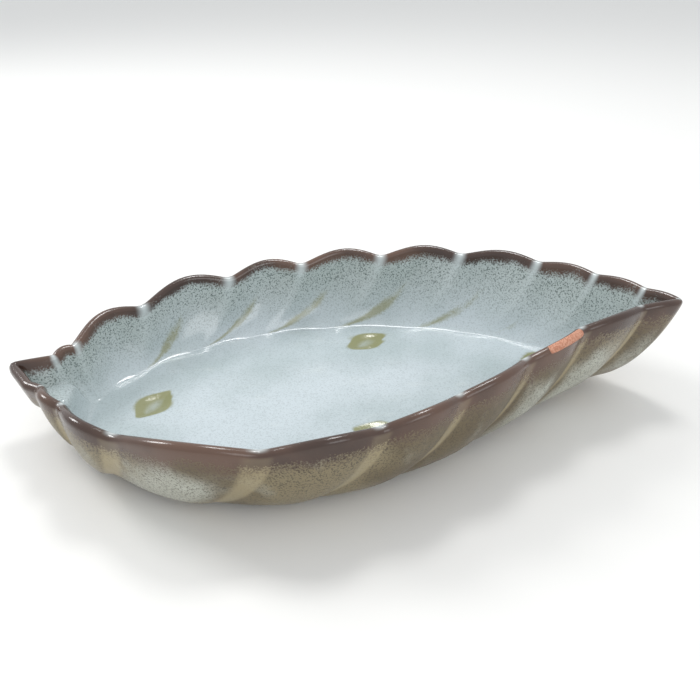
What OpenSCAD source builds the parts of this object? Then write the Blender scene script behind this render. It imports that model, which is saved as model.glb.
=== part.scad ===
// Leaf-shaped stoneware dish: a slip-cast clay leaf with a hollow stem, on four small oval feet,
// and the coats of glaze that lie on it. Lengths are in millimetres.
// The stem points to -X, the tip to +X, the far side to +Y, and the soles of the feet are at z = 0.

/* [Blade] */
// Length of the blade from the root of the stem to the tip
blade_l = 288; // [250:1:320]
// Width of the blade across its widest notches
blade_w = 156; // [130:1:180]
// Where the blade is widest, as a part of its length from the stem
widest_at = 0.39; // [0.34:0.01:0.44]
// How sharply the blade narrows towards its tip
tip_taper = 1.04; // [0.95:0.01:1.2]
// How far the midrib bows to the far side
midrib_bow = 22; // [10:0.5:26]
// How close to the tip the midrib bows most
bow_skew = 2.9; // [2.2:0.1:3.4]
// Height of the rim's notches at the stem
rim_h_stem = 34; // [28:0.5:40]
// Height of the rim's notches at the tip
rim_h_tip = 52; // [44:0.5:58]

/* [Lobes] */
// Notches of the far side, as parts of the blade's length from the stem
far_notches = [0.024, 0.118, 0.267, 0.403, 0.556, 0.705, 0.833, 0.91, 0.965]; // [0:0.001:1]
// Notches of the near side, as parts of the blade's length from the stem
near_notches = [0.042, 0.125, 0.319, 0.472, 0.587, 0.701, 0.812, 0.93]; // [0:0.001:1]
// How far a lobe stands out between its notches, as a part of its length
lobe_bulge = 0.14; // [0.08:0.01:0.18]
// How far a lobe rises between its notches, as a part of its length
lobe_rise = 0.12; // [0.06:0.01:0.16]
// How far a lobe's crest leans towards the tip
lobe_lean = 1.15; // [1:0.01:1.3]
// Share of a lobe's bulge and rise that is left at the tip
lobe_fade = 0.3; // [0.2:0.05:1]

/* [Wall and floor] */
// Thickness of the fired clay
clay_t = 4; // [3.2:0.1:5]
// Half width of the floor, as a part of the blade's half width
floor_share = 0.8; // [0.74:0.01:0.86]
// Distance from the root of the stem to the floor's edge
floor_from_stem = 16; // [13:0.5:20]
// Distance from the floor's edge to the tip
floor_to_tip = 32; // [27:0.5:36]
// How far the veins sweep back to the stem as they go down the wall
vein_sweep = 1.5; // [1.3:0.01:1.6]
// Angle from level at which the wall meets the rim at the stem
rim_angle_stem = 78; // [70:1:84]
// The same angle at the tip
rim_angle_tip = 58; // [50:1:76]

/* [Stem] */
// Length of the stem along its middle
stem_l = 12; // [9:0.5:16]
// Width of the stem's cut end
stem_end_w = 20; // [17:0.5:24]
// Width of the stem at its root
stem_root_w = 25; // [22:0.5:28]
// Angle of the stem's cut end
stem_cut = 33; // [15:1:38]
// Height of the middle of the trough's bottom
trough_h = 21.5; // [19:0.5:25]
// Width of the throat where the trough opens into the bowl
throat_w = 14; // [11:0.5:16]

/* [Feet and dimples] */
// Height of the feet under the floor
foot_h = 4.5; // [3.5:0.1:6]
// Length of a foot where it meets the floor
foot_l = 26; // [22:0.5:30]
// Width of a foot where it meets the floor
foot_w = 17; // [15:0.5:20]
// Width of a foot's flat sole
sole_w = 11; // [8:0.5:12]
// Length of the dimple in the floor over each foot
dimple_l = 24; // [18:0.5:26]
// Width of a dimple
dimple_w = 14; // [10:0.5:16]
// Depth of a dimple
dimple_depth = 1.8; // [1.4:0.1:2.2]
// Middle of the stem foot, from the root of the stem
stem_foot_at = [41, 6]; // [0:1:260]
// Middle of the far foot
far_foot_at = [148, 52]; // [0:1:260]
// Middle of the near foot
near_foot_at = [143, -28]; // [-60:1:260]
// Middle of the tip foot, from the tip
tip_foot_at = [-54, 22]; // [-80:1:60]
// Turns of the stem, far, near and tip feet
foot_turns = [59, 37, -20, 20]; // [-90:1:90]

/* [Glaze] */
// Thickness of the glaze
glaze_t = 0.4; // [0.3:0.05:0.6]
// How much thicker the glaze is where it ran together in a dimple
pool_t = 0.8; // [0.4:0.1:1]

/* [Chip] */
// Where the chip in the near rim starts, as a part of its lobe
chip_from = 0.4; // [0:0.2:0.8]
// Where the chip ends, as a part of its lobe
chip_to = 1; // [0.6:0.2:1]

/* [Hidden] */

// Steps along a lobe, along a side of the stem and round the rim's bead
lobe_steps = 5;
stem_steps = 2;
bead_steps = 4;
// Rows up the wall, from 0 at the floor's edge to 1 at the rim
wall_rows = [0, 0.17, 0.34, 0.5, 0.65, 0.8, 1];
throat_row = 0.5;
trough_row = 0.8;
// Share of a lobe's bulge that it still has at the floor
floor_bulge = 0.25;
// Half the width that the floor has at the throat fades over its first part by this power
throat_fade = 6;
// The trough's bottom follows the stem's rim at this share of its size
trough_share = 0.5;
// The throat's distance from the root of the stem, and how far the floor bulges towards it
throat_x = 6;
throat_bulge = 1;
// Lobe of the near side that has the chip, counted from the stem
chip_lobe = 6;
// A cut runs past a face by this much
past = 1;

floor_l = blade_l - floor_from_stem - floor_to_tip;
floor_mid_h = foot_h + glaze_t + clay_t / 2;
floor_top = foot_h + glaze_t + clay_t;
fullness = tip_taper * widest_at / (1 - widest_at);
widest = pow(widest_at, fullness) * pow(1 - widest_at, tip_taper);

// The blade's half width and the midrib's bow along its length
function part(x) = min(1, max(0, x));
function breadth(t) = pow(part(t), fullness) * pow(1 - part(t), tip_taper) / widest;
function midrib(x) = midrib_bow * sin(180 * pow(part(x / blade_l), bow_skew));
function mix(a, b, k) = a + (b - a) * k;
function unit(v) = v / max(norm(v), 0.000001);

// A notch on the rim and the foot of its vein on the floor; side is 1 on the far side and -1 on the near side
function rim_half_w(t) = t == 0 ? stem_root_w / 2 : blade_w / 2 * breadth(t);
function rim_notch(side, t) =
    [t * blade_l, midrib(t * blade_l) + side * rim_half_w(t), mix(rim_h_stem, rim_h_tip, t)];
function vein_foot(side, t) =
    let (s = pow(t, vein_sweep), x = floor_from_stem + s * floor_l,
         half = floor_share * blade_w / 2 * breadth(s) + throat_w / 2 * pow(1 - s, throat_fade))
    [x, midrib(x) + side * half, floor_mid_h];

// A row's place between the floor and the rim, along a curve that starts level and ends at an angle
function rim_angle(t) = mix(rim_angle_stem, rim_angle_tip, t * t);
function reach(v, angle) = sin(v * angle) / sin(angle);
function climb(v, angle) = (1 - cos(v * angle)) / (1 - cos(angle));
function crest(w) = sin(180 * pow(w, lobe_lean));

// One column of the middle of the wall, at w along the lobe between notches a and b
function lobe_column(side, a, b, w) =
    let (ra = rim_notch(side, a), rb = rim_notch(side, b), fa = vein_foot(side, a), fb = vein_foot(side, b),
         along = [rb.x - ra.x, rb.y - ra.y], l = norm(along), out = side * [-along.y, along.x] / l,
         rim = mix(ra, rb, w), foot = mix(fa, fb, w), t = mix(a, b, w), angle = rim_angle(t),
         lobe = l * crest(w) * mix(1, lobe_fade, t * t * t))
    [for (v = wall_rows)
        let (swell = lobe_bulge * lobe * mix(floor_bulge, 1, sin(90 * v)))
        [mix(foot.x, rim.x, reach(v, angle)) + out.x * swell,
         mix(foot.y, rim.y, reach(v, angle)) + out.y * swell,
         mix(foot.z, rim.z, climb(v, angle)) + lobe_rise * lobe * v * v]];

// The stem's rim from its far root round the cut end to its near root
stem_far = [-stem_l - sin(stem_cut) * stem_end_w / 2, cos(stem_cut) * stem_end_w / 2, rim_h_stem];
stem_near = [-stem_l + sin(stem_cut) * stem_end_w / 2, -cos(stem_cut) * stem_end_w / 2, rim_h_stem];
stem_turns = [rim_notch(1, 0), stem_far, stem_near, rim_notch(-1, 0)];
stem_rim = [for (i = [0:2]) for (k = [1:stem_steps])
    if (i < 2 || k < stem_steps) mix(stem_turns[i], stem_turns[i + 1], k / stem_steps)];

// One column of the stem: up the bowl to the throat, along the trough's bottom and up to its rim
function stem_column(i) =
    let (w = (i + 1) / (len(stem_rim) + 1), rim = stem_rim[i], middle = [-stem_l / 3, 0, trough_h],
         angle = rim_angle_stem,
         y = throat_w / 2 * cos(180 * w), foot = [floor_from_stem - throat_bulge * sin(180 * w), y, floor_mid_h],
         throat = [throat_x, y, trough_h], bottom = mix(middle, [rim.x, rim.y, trough_h], trough_share))
    [for (v = wall_rows)
        v <= throat_row ?
            [mix(foot.x, throat.x, reach(v / throat_row, angle)), y,
             mix(foot.z, throat.z, climb(v / throat_row, angle))]
        : v <= trough_row ? mix(throat, bottom, (v - throat_row) / (trough_row - throat_row))
        : mix(bottom, rim, (v - trough_row) / (1 - trough_row))];

// All columns, from the tip along the far side, round the stem and back along the near side
function ends(notches) = concat([0], notches, [1]);
function far_columns(ts) =
    [for (i = [len(ts) - 1:-1:1]) for (k = [lobe_steps:-1:1]) lobe_column(1, ts[i - 1], ts[i], k / lobe_steps)];
function near_columns(ts) =
    [for (i = [1:len(ts) - 1]) for (k = [0:lobe_steps - 1]) lobe_column(-1, ts[i - 1], ts[i], k / lobe_steps)];
wall_middle = concat(
    far_columns(ends(far_notches)),
    [lobe_column(1, 0, far_notches[0], 0)],
    [for (i = [0:len(stem_rim) - 1]) stem_column(i)],
    near_columns(ends(near_notches)));

columns = len(wall_middle);
top_row = len(wall_rows) - 1;
near_start = columns - lobe_steps * (len(near_notches) + 1);

// The direction from the middle of the wall to its inner face
function inward(c, r) =
    r == 0 ? [0, 0, 1] :
    let (before = wall_middle[(c + columns - 1) % columns], after = wall_middle[(c + 1) % columns],
         up = wall_middle[c][min(r + 1, top_row)] - wall_middle[c][r - 1])
    unit(cross(up, after[r] - before[r]));
wall_inward = [for (c = [0:columns - 1]) [for (r = [0:top_row]) inward(c, r)]];

// The wall's section at one column, from the floor's edge up the inner face, over the bead and down outside
function bead(c, half) =
    let (n = wall_inward[c][top_row], up = unit(cross(wall_middle[(c + 1) % columns][top_row]
         - wall_middle[(c + columns - 1) % columns][top_row], n)))
    [for (k = [1:bead_steps - 1])
        wall_middle[c][top_row] + half * (n * cos(180 * k / bead_steps) - up * sin(180 * k / bead_steps))];
function section(c, half) = concat(
    [for (r = [0:top_row]) wall_middle[c][r] + half * wall_inward[c][r]],
    bead(c, half),
    [for (r = [top_row:-1:0]) wall_middle[c][r] - half * wall_inward[c][r]]);
clay_sections = [for (c = [0:columns - 1]) section(c, clay_t / 2)];
glaze_sections = [for (c = [0:columns - 1]) section(c, clay_t / 2 + glaze_t)];

section_points = len(clay_sections[0]);
rim_inner = top_row - 1;
rim_outer = top_row + bead_steps + 1;

// The middle of the whole dish, which goes to the origin
skin = [for (column = glaze_sections) for (point = column) point];
middle_x = (max([for (p = skin) p.x]) + min([for (p = skin) p.x])) / 2;
middle_y = (max([for (p = skin) p.y]) + min([for (p = skin) p.y])) / 2;

module centred() {
    translate([-middle_x, -middle_y, 0])
        children();
}

// A closed ring from one closed section per column
module ring(sections) {
    n = len(sections);
    m = len(sections[0]);
    polyhedron(
        [for (s = sections) for (p = s) p],
        [for (c = [0:n - 1]) for (k = [0:m - 1])
            let (d = (c + 1) % n, j = (k + 1) % m)
            for (face = [[c * m + k, d * m + k, d * m + j], [c * m + k, d * m + j, c * m + j]]) face]);
}

// A coat of glaze on the section's points first to last, without the cells that bare(column, point) names
module coat(first, last, bare = function (c, k) false) {
    m = last - first + 1;
    layer = columns * m;
    points = concat(
        [for (c = [0:columns - 1]) for (k = [first:last]) clay_sections[c][k]],
        [for (c = [0:columns - 1]) for (k = [first:last]) glaze_sections[c][k]]);
    function at(c, k, l) = ((c + columns) % columns) * m + k + l * layer;
    function there(c, k) = k >= 0 && k < m - 1 && !bare((c + columns) % columns, k + first);
    function quad(a, b, c, d) = [[a, b, c], [a, c, d]];
    polyhedron(points,
        [for (c = [0:columns - 1]) for (k = [0:m - 2]) if (there(c, k))
            let (faces = concat(
                quad(at(c, k, 1), at(c + 1, k, 1), at(c + 1, k + 1, 1), at(c, k + 1, 1)),
                quad(at(c, k, 0), at(c, k + 1, 0), at(c + 1, k + 1, 0), at(c + 1, k, 0)),
                there(c, k - 1) ? [] : quad(at(c, k, 0), at(c + 1, k, 0), at(c + 1, k, 1), at(c, k, 1)),
                there(c, k + 1) ? [] :
                    quad(at(c, k + 1, 1), at(c + 1, k + 1, 1), at(c + 1, k + 1, 0), at(c, k + 1, 0)),
                there(c - 1, k) ? [] : quad(at(c, k, 1), at(c, k + 1, 1), at(c, k + 1, 0), at(c, k, 0)),
                there(c + 1, k) ? [] :
                    quad(at(c + 1, k, 0), at(c + 1, k + 1, 0), at(c + 1, k + 1, 1), at(c + 1, k, 1))))
            for (face = faces) face]);
}

// The floor's outline, where the wall starts
module floor_sheet(z, t) {
    translate([0, 0, z])
        linear_extrude(t)
            polygon([for (column = wall_middle) [column[0].x, column[0].y]]);
}

// A body of revolution on a level axis, that is w wide and l long at the height cut under the axis
module spindle(radius, cut, l) {
    sag = radius - cut;
    arc = (l * l / 4 + sag * sag) / (2 * sag);
    rotate([0, 90, 0])
        rotate_extrude()
            intersection() {
                translate([radius - arc, 0])
                    circle(arc);
                translate([0, -l / 2])
                    square([radius, l]);
            }
}

feet = [stem_foot_at, far_foot_at, near_foot_at, [blade_l + tip_foot_at.x, tip_foot_at.y]];

module at_foot(i) {
    translate([feet[i].x, feet[i].y, 0])
        rotate(foot_turns[i])
            children();
}

// A foot: an oval body, flat where it meets the clay floor and flat at its sole
module foot(i) {
    top = foot_h + glaze_t;
    axis_h = (foot_w * foot_w / 4 - sole_w * sole_w / 4 + top * top) / (2 * top);
    radius = sqrt(axis_h * axis_h + sole_w * sole_w / 4);
    at_foot(i)
        intersection() {
            translate([0, 0, axis_h])
                spindle(radius, axis_h - top, foot_l);
            translate([-foot_l, -foot_w, 0])
                cube([2 * foot_l, 2 * foot_w, top]);
        }
}

// The hollow over a foot, in a face at height z
module dimple(i, z, depth) {
    radius = (dimple_w * dimple_w / 4 + depth * depth) / (2 * depth);
    at_foot(i)
        translate([0, 0, z + radius - depth])
            spindle(radius, radius - depth, dimple_l);
}

module clay_wall() {
    color("#b5653f")
        centred()
            ring(clay_sections);
}

module clay_floor() {
    color("#b5653f")
        centred()
            difference() {
                floor_sheet(floor_mid_h - clay_t / 2, clay_t);
                for (i = [0:3])
                    dimple(i, floor_top, dimple_depth);
            }
}

module inner_wall_glaze() {
    color("#a9bcc6")
        centred()
            coat(0, rim_inner);
}

// Glaze that ran together in the clay's dimple, up into the floor's glaze
module pool(i) {
    intersection() {
        dimple(i, floor_top, dimple_depth);
        at_foot(i)
            translate([-dimple_l, -dimple_w, floor_top - dimple_depth - past])
                cube([2 * dimple_l, 2 * dimple_w, dimple_depth + past + glaze_t / 2]);
    }
}

module floor_glaze() {
    color("#b4c8d4")
        centred()
            difference() {
                union() {
                    floor_sheet(floor_top, glaze_t);
                    for (i = [0:3])
                        pool(i);
                }
                for (i = [0:3])
                    dimple(i, floor_top + glaze_t, dimple_depth - pool_t);
            }
}

// The chip bares the outer half of the bead on part of one near lobe
function chipped(c, k) =
    let (along = (c - near_start) / lobe_steps - (chip_lobe - 1))
    k >= top_row + bead_steps / 2 && along >= chip_from && along < chip_to;

module rim_glaze() {
    color("#4a2c20")
        centred()
            coat(rim_inner, rim_outer, function (c, k) chipped(c, k));
}

module outer_wall_glaze() {
    color("#8b7a5a")
        centred()
            coat(rim_outer, section_points - 1);
}

module base_glaze() {
    color("#7d745c")
        centred()
            difference() {
                floor_sheet(foot_h, glaze_t);
                for (i = [0:3])
                    foot(i);
            }
}

module stem_foot() {
    color("#8f8c7c")
        centred()
            foot(0);
}

module far_foot() {
    color("#8f8c7c")
        centred()
            foot(1);
}

module near_foot() {
    color("#8f8c7c")
        centred()
            foot(2);
}

module tip_foot() {
    color("#8f8c7c")
        centred()
            foot(3);
}

clay_wall();
clay_floor();
inner_wall_glaze();
floor_glaze();
rim_glaze();
outer_wall_glaze();
base_glaze();
stem_foot();
far_foot();
near_foot();
tip_foot();
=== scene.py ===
# A leaf-shaped pottery dish in one speckled glaze: blue-grey inside, brown on the rim, olive outside.
import math
from collections import namedtuple
from functools import partial

import bmesh
import bpy
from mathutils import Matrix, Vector


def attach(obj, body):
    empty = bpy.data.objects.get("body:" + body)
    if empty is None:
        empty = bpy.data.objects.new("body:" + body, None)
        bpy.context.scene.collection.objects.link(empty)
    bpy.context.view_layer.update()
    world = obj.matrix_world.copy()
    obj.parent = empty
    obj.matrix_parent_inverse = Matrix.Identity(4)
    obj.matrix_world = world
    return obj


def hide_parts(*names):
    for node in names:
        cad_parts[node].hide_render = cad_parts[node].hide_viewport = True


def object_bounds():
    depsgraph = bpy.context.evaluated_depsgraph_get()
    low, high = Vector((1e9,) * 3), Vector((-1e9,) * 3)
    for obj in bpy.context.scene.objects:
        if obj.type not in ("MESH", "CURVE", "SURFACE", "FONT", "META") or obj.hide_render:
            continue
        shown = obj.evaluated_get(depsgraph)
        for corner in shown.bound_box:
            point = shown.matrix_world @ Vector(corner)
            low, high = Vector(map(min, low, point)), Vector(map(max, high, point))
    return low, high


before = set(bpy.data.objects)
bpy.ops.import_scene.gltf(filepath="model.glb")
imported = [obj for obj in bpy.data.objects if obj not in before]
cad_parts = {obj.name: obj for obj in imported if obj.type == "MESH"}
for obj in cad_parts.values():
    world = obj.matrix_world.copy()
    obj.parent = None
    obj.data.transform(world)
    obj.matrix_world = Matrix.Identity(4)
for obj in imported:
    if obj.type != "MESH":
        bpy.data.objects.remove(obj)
cad_low, cad_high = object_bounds()

# The dish: one slip-cast leaf of red clay under one glaze, whose inner face, rim and outer face
# run on without a seam. A grid of columns round the leaf and rows from the middle of the floor
# over the rim to the middle of the base is bent into shape; sizes are in millimetres.
mm = 0.001

# The blade's outline, widest nearer the stem, on a bowed midrib; its rim climbs towards the tip
blade_l = 288
blade_w = 156
widest_at = 0.39
tip_taper = 1.04
midrib_bow = 22
bow_skew = 2.9
rim_h_stem = 34
rim_h_tip = 52

# The notches between the lobes, as shares of the blade's length. The lobes bulge out, less at the
# floor, and they rise, lean and fade towards the tip
far_notches = [0, 0.024, 0.118, 0.267, 0.403, 0.556, 0.705, 0.833, 0.91, 0.965, 1]
near_notches = [0, 0.042, 0.125, 0.319, 0.472, 0.587, 0.701, 0.812, 0.93, 1]
lobe_bulge = 0.14
floor_bulge = 0.25
lobe_rise = 0.12
lobe_lean = 1.15
lobe_fade = 0.3
fade_growth = 3

# The floor, on whose edge the veins end; the wall curves up from it through these angles, in degrees
floor_share = 0.8
floor_from_stem = 16
floor_to_tip = 32
floor_l = blade_l - floor_from_stem - floor_to_tip
vein_sweep = 1.5
rim_angle_stem = 78
rim_angle_tip = 58

# The hollow stem: its skew-cut end, the throat that opens it to the bowl, and the trough in it. Up
# its rows, the throat is at the first of the last two shares and the trough's side at the second
stem_l = 12
stem_end_w = 20
stem_root_w = 25
stem_cut = math.radians(33)
throat_w = 14
throat_x = 6
throat_fade = 6
trough_h = 21.5
trough_past_root = stem_l / 3
trough_share = 0.5
throat_row = 0.5
trough_row = 0.8

# The clay, the glaze on each face of it, and the height of the feet under it
clay_t = 4
glaze_t = 0.4
foot_h = 4.5
half_t = clay_t / 2 + glaze_t
floor_mid_h = foot_h + glaze_t + clay_t / 2
floor_top = floor_mid_h + half_t

# Each foot's middle from the root of the stem, and its turn; a dimple shows in the floor over it
feet = {
    "stem_foot": (41, 6, 59),
    "far_foot": (148, 52, 37),
    "near_foot": (143, -28, -20),
    "tip_foot": (234, 22, 20),
}
dimple_l = 27
dimple_w = 19
dimple_depth = 1.6
dimple_point = 0.5
dimple_edge = 1.2

# Outside, a lobe stands proud of the next one, most at its end and halfway up the wall
lobe_step = 2.4
step_growth = 3
step_skew = 0.8

# Columns along a lobe and along each stretch of the stem's rim; rows over the floor, up the wall and
# round the rim; how near two points are welded; how far the mesh stays inside the CAD's box
lobe_steps = 8
stem_steps = 5
floor_rows = 34
floor_spread = 0.9
wall_rows = 22
bead_rows = 10
weld = 0.02
top_gap = 0.1
side_gap = 0.05

# Lobes count from the stem: the near ones from 1 and the far ones from 101, with 0 for the stem itself
stem = 0
far = 100

# The chip's lobe, and its stretch along the lobe and across the rim
chip_lobe = 7
chip_along = (0.35, 0.99)
chip_across = (0.3, 0.95)

# How cream-grey the lobes are outside, and how olive the runs of glaze on them are inside
cream_lobes = {2: 0.6, 3: 1.0, 7: 0.7, 8: 0.9, 9: 0.5}
olive_runs = {far + 3: 0.9, far + 4: 1.0, far + 5: 0.9, far + 6: 1.0, far + 7: 0.8, far + 8: 0.6,
              3: 0.3, 4: 0.3}
run_at = 0.3
run_lean = 0.3
run_w = 0.15
run_top = 0.95
run_foot = 0.1

# A column this near to a notch, as a share of its lobe, has this much of the notch's mask
notch_reach = 1.5 / lobe_steps
beside_notch = 0.15

fullness = tip_taper * widest_at / (1 - widest_at)
widest = widest_at ** fullness * (1 - widest_at) ** tip_taper


def mix(a, b, k):
    return a + (b - a) * k


def part(v):
    return min(1.0, max(0.0, v))


def breadth(t):
    """The blade's width at t along it, as a share of its widest."""
    return part(t) ** fullness * (1 - part(t)) ** tip_taper / widest


def midrib(x):
    return midrib_bow * math.sin(math.pi * part(x / blade_l) ** bow_skew)


def rim_notch(side, t):
    half = stem_root_w / 2 if t == 0 else blade_w / 2 * breadth(t)
    x = t * blade_l
    return Vector((x, midrib(x) + side * half, mix(rim_h_stem, rim_h_tip, t)))


def vein_foot(side, t):
    """Where the vein from the notch at t meets the floor, swept back towards the stem."""
    s = t ** vein_sweep
    x = floor_from_stem + s * floor_l
    half = floor_share * blade_w / 2 * breadth(s) + throat_w / 2 * (1 - s) ** throat_fade
    return Vector((x, midrib(x) + side * half, floor_mid_h))


def reach(v, angle):
    """How far out the wall is at v up it: it starts level and ends at an angle."""
    return math.sin(v * angle) / math.sin(angle)


def climb(v, angle):
    """How high the same wall is at v."""
    return (1 - math.cos(v * angle)) / (1 - math.cos(angle))


def lobe_point(side, a, b, w, v):
    """The middle of the wall at w along the lobe between notches a and b, and v up the wall."""
    start = rim_notch(side, a)
    end = rim_notch(side, b)
    along = (end - start).to_2d()
    out = side * Vector((-along.y, along.x)).normalized()
    rim = start.lerp(end, w)
    foot = vein_foot(side, a).lerp(vein_foot(side, b), w)
    t = mix(a, b, w)
    angle = math.radians(mix(rim_angle_stem, rim_angle_tip, t * t))
    lobe = along.length * math.sin(math.pi * w ** lobe_lean) * mix(1, lobe_fade, t ** fade_growth)
    swell = lobe_bulge * lobe * mix(floor_bulge, 1, math.sin(v * math.pi / 2))
    return Vector((mix(foot.x, rim.x, reach(v, angle)) + out.x * swell,
                   mix(foot.y, rim.y, reach(v, angle)) + out.y * swell,
                   mix(foot.z, rim.z, climb(v, angle)) + lobe_rise * lobe * v * v))


def stem_rims():
    """Points of the stem's rim, from its far root round the cut end and short of its near root."""
    cut = Vector((math.sin(stem_cut), -math.cos(stem_cut), 0)) * stem_end_w / 2
    end = Vector((-stem_l, 0, rim_h_stem))
    turns = [rim_notch(1, 0), end - cut, end + cut, rim_notch(-1, 0)]
    points = []
    for start, stop in zip(turns, turns[1:]):
        points += [start.lerp(stop, k / stem_steps) for k in range(1, stem_steps + 1)]
    return points[:-1]


def stem_point(w, rim, v):
    """The middle of the stem's wall: up to the throat, along the trough and up to the rim."""
    y = throat_w / 2 * math.cos(math.pi * w)
    angle = math.radians(rim_angle_stem)
    foot = Vector((floor_from_stem - math.sin(math.pi * w), y, floor_mid_h))
    throat = Vector((throat_x, y, trough_h))
    middle = Vector((-trough_past_root, 0, trough_h))
    bottom = middle.lerp(Vector((rim.x, rim.y, trough_h)), trough_share)
    if v <= throat_row:
        k = v / throat_row
        return Vector((mix(foot.x, throat.x, reach(k, angle)), y, mix(foot.z, throat.z, climb(k, angle))))
    if v <= trough_row:
        return throat.lerp(bottom, (v - throat_row) / (trough_row - throat_row))
    return bottom.lerp(rim, (v - trough_row) / (1 - trough_row))


# A column is its wall's middle as a function of v, its place w along its lobe, and the lobe's number.
# Columns run from the tip along the far side, round the stem and back along the near side.
Column = namedtuple("Column", "middle w lobe")
columns = []
for i in range(len(far_notches) - 1, 0, -1):
    for k in range(lobe_steps, 0, -1):
        w = k / lobe_steps
        middle = partial(lobe_point, 1, far_notches[i - 1], far_notches[i], w)
        columns.append(Column(middle, w, far + i))
columns.append(Column(partial(lobe_point, 1, 0, far_notches[1], 0), 0, far))
rims = stem_rims()
for i, rim in enumerate(rims, 1):
    columns.append(Column(partial(stem_point, i / (len(rims) + 1), rim), 0.5, stem))
for i in range(1, len(near_notches)):
    for k in range(lobe_steps):
        w = k / lobe_steps
        middle = partial(lobe_point, -1, near_notches[i - 1], near_notches[i], w)
        columns.append(Column(middle, w, i))
count = len(columns)

heights = [r / wall_rows for r in range(wall_rows + 1)]
middles = [[column.middle(v) for v in heights] for column in columns]
centre = Vector((sum(m[0].x for m in middles) / count, sum(m[0].y for m in middles) / count, floor_mid_h))


def inward(c, r):
    """The way from the middle of the wall to its inner face."""
    if r == 0:
        return Vector((0, 0, 1))
    across = middles[(c + 1) % count][r] - middles[c - 1][r]
    up = middles[c][min(r + 1, wall_rows)] - middles[c][r - 1]
    return up.cross(across).normalized()


def hollow(p):
    """1 in the middle of a dimple, falling to 0 at its edge, which is a pointed oval."""
    depth = 0.0
    for x, y, turn in feet.values():
        turn = math.radians(turn)
        u = ((p.x - x) * math.cos(turn) + (p.y - y) * math.sin(turn)) / (dimple_l / 2)
        s = (-(p.x - x) * math.sin(turn) + (p.y - y) * math.cos(turn)) / (dimple_w / 2)
        depth = max(depth, 1 - u * u - abs(s) * (1 + dimple_point * u * u))
    return depth


def section(c):
    """One column's points from the middle of the floor to the middle of the base, each with its rise
    up the wall, and its place from the inner face, 0, to the outer one, 1."""
    _, w, lobe = columns[c]
    points = []
    for k in range(floor_rows):
        share = (k / floor_rows) ** floor_spread
        p = centre.lerp(middles[c][0], share) + Vector((0, 0, half_t))
        d = part(hollow(p) * dimple_edge)
        p.z -= dimple_depth * d * d * (3 - 2 * d)
        points.append((p, 0.0, 0.0))
    normals = [inward(c, r) for r in range(wall_rows + 1)]
    for r in range(wall_rows + 1):
        points.append((middles[c][r] + half_t * normals[r], heights[r], 0.0))
    n = normals[wall_rows]
    up = (middles[(c + 1) % count][-1] - middles[c - 1][-1]).cross(n).normalized()
    up = up if up.z > 0 else -up
    for k in range(1, bead_rows):
        turn = math.pi * k / bead_rows
        bead = half_t * (n * math.cos(turn) + up * math.sin(turn))
        points.append((middles[c][-1] + bead, 1.0, k / bead_rows))
    on_lobe = lobe != stem and w < 1
    for r in range(wall_rows, -1, -1):
        proud = lobe_step * w ** step_growth * math.sin(math.pi * heights[r] ** step_skew) if on_lobe else 0
        points.append((middles[c][r] - (half_t + proud) * normals[r], heights[r], 1.0))
    for k in range(floor_rows - 1, -1, -1):
        points.append((centre.lerp(middles[c][0], k / floor_rows) - Vector((0, 0, half_t)), 0.0, 1.0))
    return points


def glaze_masks(column, p, rise, outside):
    """What the glaze reads at one of a column's points, each from 0 to 1."""
    _, w, lobe = column
    notch = 0.0
    if lobe != stem and w in (0, 1):
        notch = 1.0
    elif lobe != stem and min(w, 1 - w) < notch_reach:
        notch = beside_notch
    # A run of olive leans along its lobe as it climbs, and fades towards both ends
    run = math.exp(-((w - run_at - run_lean * rise) / run_w) ** 2)
    run *= olive_runs.get(lobe, 0) * math.sin(math.pi * min(1, rise / run_top + run_foot))
    pale = cream_lobes.get(lobe, 0) * math.sin(math.pi * w) * math.sin(math.pi * rise)
    on_chip = lobe == chip_lobe and chip_along[0] < w < chip_along[1]
    on_bead = rise == 1 and chip_across[0] < outside < chip_across[1]
    return {
        "rise": rise,
        "outside": outside,
        "notch": notch,
        "dimple": hollow(p) if outside == 0 and rise == 0 else 0.0,
        "chip": 1.0 if on_chip and on_bead else 0.0,
        "olive": run if outside == 0 and rise > 0 else 0.0,
        "cream": pale if outside == 1 else 0.0,
    }


sections = [section(c) for c in range(count)]
rows = len(sections[0])
leaf_points = [p for points in sections for p, _, _ in points]
low = Vector([min(p[axis] for p in leaf_points) for axis in range(3)])
high = Vector([max(p[axis] for p in leaf_points) for axis in range(3)])
cad_middle = (cad_low + cad_high) / 2
squat = (cad_high.z / mm - floor_top - top_gap) / (high.z - floor_top)
shift = Vector((cad_middle.x / mm - (low.x + high.x) / 2, cad_middle.y / mm - (low.y + high.y) / 2, 0))


def placed(p):
    """A point in metres. The finer rim is kept inside the CAD's box: a little lower than its formula
    makes it, in the box's middle and just off its sides."""
    if p.z > floor_top:
        p = Vector((p.x, p.y, floor_top + (p.z - floor_top) * squat))
    p = (p + shift) * mm
    gap = side_gap * mm
    x = min(max(p.x, cad_low.x + gap), cad_high.x - gap)
    y = min(max(p.y, cad_low.y + gap), cad_high.y - gap)
    return Vector((x, y, p.z))


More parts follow.
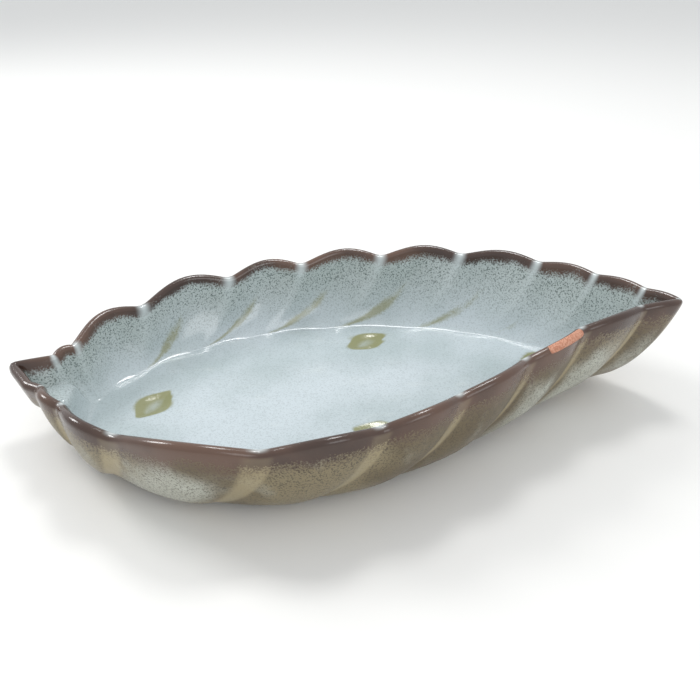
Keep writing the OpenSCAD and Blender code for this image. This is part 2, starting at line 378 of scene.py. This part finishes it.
mesh = bpy.data.meshes.new("glazed_leaf")
bm = bmesh.new()
bmesh.ops.create_grid(bm, x_segments=count, y_segments=rows - 1, size=0.5)
masks = {name: bm.verts.layers.float.new(name) for name in glaze_masks(columns[0], centre, 0.0, 0.0)}
for vertex in bm.verts:
    c = round((vertex.co.x + 0.5) * count) % count
    r = round((vertex.co.y + 0.5) * (rows - 1))
    p, rise, outside = sections[c][r]
    vertex.co = placed(p)
    for name, value in glaze_masks(columns[c], p, rise, outside).items():
        vertex[masks[name]] = value
bmesh.ops.remove_doubles(bm, verts=bm.verts, dist=weld * mm)
bmesh.ops.recalc_face_normals(bm, faces=bm.faces)
for face in bm.faces:
    face.smooth = True
bm.to_mesh(mesh)
bm.free()
leaf = bpy.data.objects.new("glazed_leaf", mesh)
bpy.context.scene.collection.objects.link(leaf)
finer = leaf.modifiers.new("finer", "SUBSURF")
finer.levels = finer.render_levels = 1
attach(leaf, "root")
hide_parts("clay_wall", "clay_floor", "inner_wall_glaze", "floor_glaze", "rim_glaze",
            "outer_wall_glaze", "base_glaze")


def linear(r, g, b):
    """A shader's colour from 8-bit display values, which is how every colour here is written."""
    def one(v):
        v /= 255
        return v / 12.92 if v <= 0.04045 else ((v + 0.055) / 1.055) ** 2.4
    return (one(r), one(g), one(b), 1.0)


class Value:
    """A number socket that can be used in Python expressions."""

    def __init__(self, tree, socket):
        self.tree = tree
        self.socket = socket

    def node(self, operation, *values):
        node = self.tree.nodes.new("ShaderNodeMath")
        node.operation = operation
        for slot, value in zip(node.inputs, values):
            if isinstance(value, Value):
                self.tree.links.new(value.socket, slot)
            else:
                slot.default_value = value
        return Value(self.tree, node.outputs[0])

    def __add__(self, other):
        return self.node("ADD", self, other)

    def __sub__(self, other):
        return self.node("SUBTRACT", self, other)

    def __rsub__(self, other):
        return self.node("SUBTRACT", other, self)

    def __mul__(self, other):
        return self.node("MULTIPLY", self, other)

    __radd__ = __add__
    __rmul__ = __mul__

    def limit(self):
        """The same number, kept from 0 to 1."""
        return self.node("MAXIMUM", self.node("MINIMUM", self, 1.0), 0.0)

    def step(self, low, high):
        """0 under low, 1 over high and smooth between."""
        node = self.tree.nodes.new("ShaderNodeMapRange")
        node.interpolation_type = "SMOOTHSTEP"
        node.inputs["From Min"].default_value = low
        node.inputs["From Max"].default_value = high
        self.tree.links.new(self.socket, node.inputs["Value"])
        return Value(self.tree, node.outputs["Result"])


class Paint:
    """A new material with its Principled shader."""

    def __init__(self, name):
        self.material = bpy.data.materials.new(name)
        self.material.use_nodes = True
        self.tree = self.material.node_tree
        self.shader = self.tree.nodes["Principled BSDF"]

    def add(self, kind, settings=None, **inputs):
        """A node of a type, with its settings and then the values or links of its sockets."""
        node = self.tree.nodes.new(kind)
        for name, value in (settings or {}).items():
            setattr(node, name, value)
        for name, value in inputs.items():
            self.put(node.inputs[name.replace("_", " ")], value)
        return node

    def put(self, socket, value):
        if isinstance(value, Value):
            self.tree.links.new(value.socket, socket)
        elif isinstance(value, bpy.types.NodeSocket):
            self.tree.links.new(value, socket)
        else:
            socket.default_value = value

    def attribute(self, name):
        node = self.add("ShaderNodeAttribute", {"attribute_name": name})
        return Value(self.tree, node.outputs["Fac"])

    def noise(self, scale, detail, stretch=(1, 1, 1)):
        """Noise fixed to the piece, whose scale is about how many blots there are in a metre."""
        place = self.add("ShaderNodeTexCoord").outputs["Object"]
        mapping = self.add("ShaderNodeMapping", Vector=place, Scale=stretch)
        node = self.add("ShaderNodeTexNoise", Vector=mapping.outputs[0], Scale=scale, Detail=detail)
        return Value(self.tree, node.outputs["Fac"])

    def mix(self, below, above, share):
        """One colour over another, by a share from 0 to 1."""
        first_colour, second_colour, mixed_colour = 6, 7, 2  # a Mix node's sockets for colours
        node = self.add("ShaderNodeMix", {"data_type": "RGBA"})
        self.put(node.inputs[0], share)
        self.put(node.inputs[first_colour], below)
        self.put(node.inputs[second_colour], above)
        return node.outputs[mixed_colour]

    def bump(self, height, depth):
        node = self.add("ShaderNodeBump", Height=height, Distance=depth, Strength=1.0)
        self.put(self.shader.inputs["Normal"], node.outputs[0])


# The glaze: blue-grey where it is thick, dark specks where it thins up the wall, brown over the rim,
# olive where it runs down the veins and pools in the dimples, and tan-olive on the outside.
def inner_glaze(paint, cloud, grain, drift, specks, rise):
    colour = paint.mix(linear(200, 210, 214), linear(182, 194, 196), cloud.step(0.35, 0.7))
    colour = paint.mix(colour, linear(172, 180, 172), rise.step(0.3, 1.0) * 0.6)
    colour = paint.mix(colour, linear(208, 216, 216), drift.step(0.58, 0.8) * 0.35)
    thin = (rise + (cloud - 0.5) * 0.5).step(0.25, 0.95)
    speckled = specks * (thin * rise * 0.85 + 0.22)
    colour = paint.mix(colour, linear(92, 104, 100), speckled.limit())
    olive = (paint.attribute("olive") + (drift - 0.5) * 0.9 + (grain - 0.5) * 0.3).step(0.35, 0.85)
    colour = paint.mix(colour, linear(138, 137, 88), olive * 0.7)
    dimple = paint.attribute("dimple")
    pool = dimple.step(0.02, 0.2) * (1 - dimple.step(0.55, 1.0) * 0.5)
    return paint.mix(colour, linear(134, 132, 70), pool * 0.85)


def outer_glaze(paint, cloud, drift, specks, rise):
    cream = (paint.attribute("cream") + (drift - 0.5) * 0.8).step(0.2, 0.8)
    pale = (cream * 0.85 + drift.step(0.55, 0.75) * 0.25).limit()
    colour = paint.mix(linear(134, 122, 94), linear(98, 84, 58), cloud.step(0.4, 0.62))
    colour = paint.mix(colour, linear(184, 186, 174), pale)
    return paint.mix(colour, linear(66, 60, 48), (specks * (0.4 + rise * 0.5)).limit())


def leaf_glaze():
    paint = Paint("leaf_glaze")
    rise = paint.attribute("rise")
    outside = paint.attribute("outside")
    notch = paint.attribute("notch")
    cloud = paint.noise(22, 3)
    grain = paint.noise(1250, 2)
    fine = paint.noise(2600, 1)
    drift = paint.noise(60, 3, (1, 2.2, 1))
    specks = (grain * 0.6 + fine * 0.4).step(0.50, 0.60)
    inner = inner_glaze(paint, cloud, grain, drift, specks, rise)
    outer = outer_glaze(paint, cloud, drift, specks, rise)
    colour = paint.mix(outer, inner, 1 - outside.step(0.02, 0.5))

    # It breaks brown over the rim, in a thin edge inside and a broader one outside
    edge = (rise + (drift - 0.5) * 0.10 + (grain - 0.5) * 0.10).step(0.92, 0.99)
    broad = (rise + (drift - 0.5) * 0.2 + (grain - 0.5) * 0.3).step(0.80, 1.0) * outside.step(0.5, 0.9)
    band = (edge + broad).limit()
    brown = paint.mix(linear(66, 48, 40), linear(100, 75, 62), cloud.step(0.4, 0.65))
    colour = paint.mix(colour, brown, band)

    # It runs pale through the notches inside at the rim, with a painted highlight down the ridges
    # under them; outside, a painted reflection lies tan along the edges of the lobes
    # The notch run: its first share is pale glaze at the rim, its second a painted highlight down the inner
    # ridge
    run = notch.step(0.3, 1.0) * (rise.step(0.86, 1.0) * 0.65 + rise.step(0.3, 0.9) * 0.35)
    run = run * (1 - outside.step(0.35, 0.7))
    colour = paint.mix(colour, linear(212, 221, 221), run * 0.8)
    # Painted reflection: a tan line of the bright table's glare along the edges of the lobes outside
    lobe_edge_reflection = notch.step(0.1, 0.6) * outside.step(0.8, 1.0) * 0.6
    colour = paint.mix(colour, linear(176, 162, 128), lobe_edge_reflection * (1 - band * 0.7))

    # The chip bares rough clay, with a ragged edge
    bare = (paint.attribute("chip") + (grain - 0.5) * 0.5 + (cloud - 0.5) * 0.6).step(0.42, 0.5)
    clay = paint.mix(linear(208, 154, 128), linear(182, 122, 96), grain.step(0.4, 0.6))
    colour = paint.mix(colour, clay, bare)

    roughness = 0.15 + outside * (0.2 - band * 0.15) + bare * 0.5 + specks * 0.05
    paint.put(paint.shader.inputs["Base Color"], colour)
    paint.put(paint.shader.inputs["Roughness"], roughness.limit())
    paint.put(paint.shader.inputs["Coat Roughness"], 0.08)
    paint.put(paint.shader.inputs["Coat Weight"], (0.35 - outside * 0.2) * (1 - bare))
    paint.bump(cloud * 0.5 + grain * 0.10 - bare * 0.8, 0.6 * mm)
    return paint.material


leaf.data.materials.append(leaf_glaze())


# The feet: four small ovals of the same clay, cast with the dish and wiped of most of their glaze.
# The CAD's own solids are kept, and only their clay is painted.
def foot_clay():
    paint = Paint("foot_clay")
    cloud = paint.noise(90, 3)
    grain = paint.noise(1500, 2)
    colour = paint.mix(linear(140, 132, 112), linear(104, 96, 76), cloud.step(0.4, 0.6))
    colour = paint.mix(colour, linear(62, 56, 46), grain.step(0.56, 0.66) * 0.6)
    paint.put(paint.shader.inputs["Base Color"], colour)
    paint.put(paint.shader.inputs["Roughness"], 0.45 + grain * 0.2)
    paint.bump(grain, 0.2 * mm)
    return paint.material


foot_paint = foot_clay()
for name in feet:
    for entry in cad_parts[name].material_slots:
        entry.material = foot_paint


# The stage: a plain pale floor under soft studio light, with two lamps behind the dish that shine on
# its rim and a broad one in front of it.
def pale_floor():
    bm = bmesh.new()
    bmesh.ops.create_grid(bm, x_segments=1, y_segments=1, size=6.0)
    mesh = bpy.data.meshes.new("floor")
    bm.to_mesh(mesh)
    bm.free()
    floor = bpy.data.objects.new("floor", mesh)
    bpy.context.scene.collection.objects.link(floor)
    paint = Paint("pale_floor")
    paint.put(paint.shader.inputs["Base Color"], linear(242, 241, 238))
    paint.put(paint.shader.inputs["Roughness"], 0.7)
    floor.data.materials.append(paint.material)


def area_light(name, at, size, power):
    """A square lamp that points at the middle of the dish."""
    dish_middle = Vector((0, 0, 0.02))
    light = bpy.data.lights.new(name, "AREA")
    light.shape = "SQUARE"
    light.size = size
    light.energy = power
    lamp = bpy.data.objects.new(name, light)
    lamp.location = at
    lamp.rotation_euler = (dish_middle - Vector(at)).to_track_quat("-Z", "Y").to_euler()
    bpy.context.scene.collection.objects.link(lamp)


pale_floor()
area_light("window_left", (-0.8, 0.5, 0.8), 0.35, 5.0)
area_light("strip_behind", (0.15, 0.55, 1.25), 0.3, 4.5)
area_light("soft_front", (0.6, -1.2, 0.9), 0.8, 4.0)
world = bpy.data.worlds.new("studio")
world.use_nodes = True
sky = world.node_tree.nodes["Background"]
sky.inputs["Color"].default_value = linear(240, 243, 246)
sky.inputs["Strength"].default_value = 0.85
bpy.context.scene.world = world

# The camera stands where the picture's perspective puts it: on the near side, towards the stem. Its
# lens is as long as its sensor is wide.
look_down = 31
look_right = 6.9
camera = bpy.data.objects.new("camera", bpy.data.cameras.new("camera"))
camera.data.lens = camera.data.sensor_width = 36
camera.location = (-0.0350, -0.2768, 0.1998)
camera.rotation_euler = (math.radians(90 - look_down), 0, math.radians(-look_right))
camera.data.clip_start = 0.01
bpy.context.scene.collection.objects.link(camera)
bpy.context.scene.camera = camera
bpy.context.scene.view_settings.view_transform = "Standard"
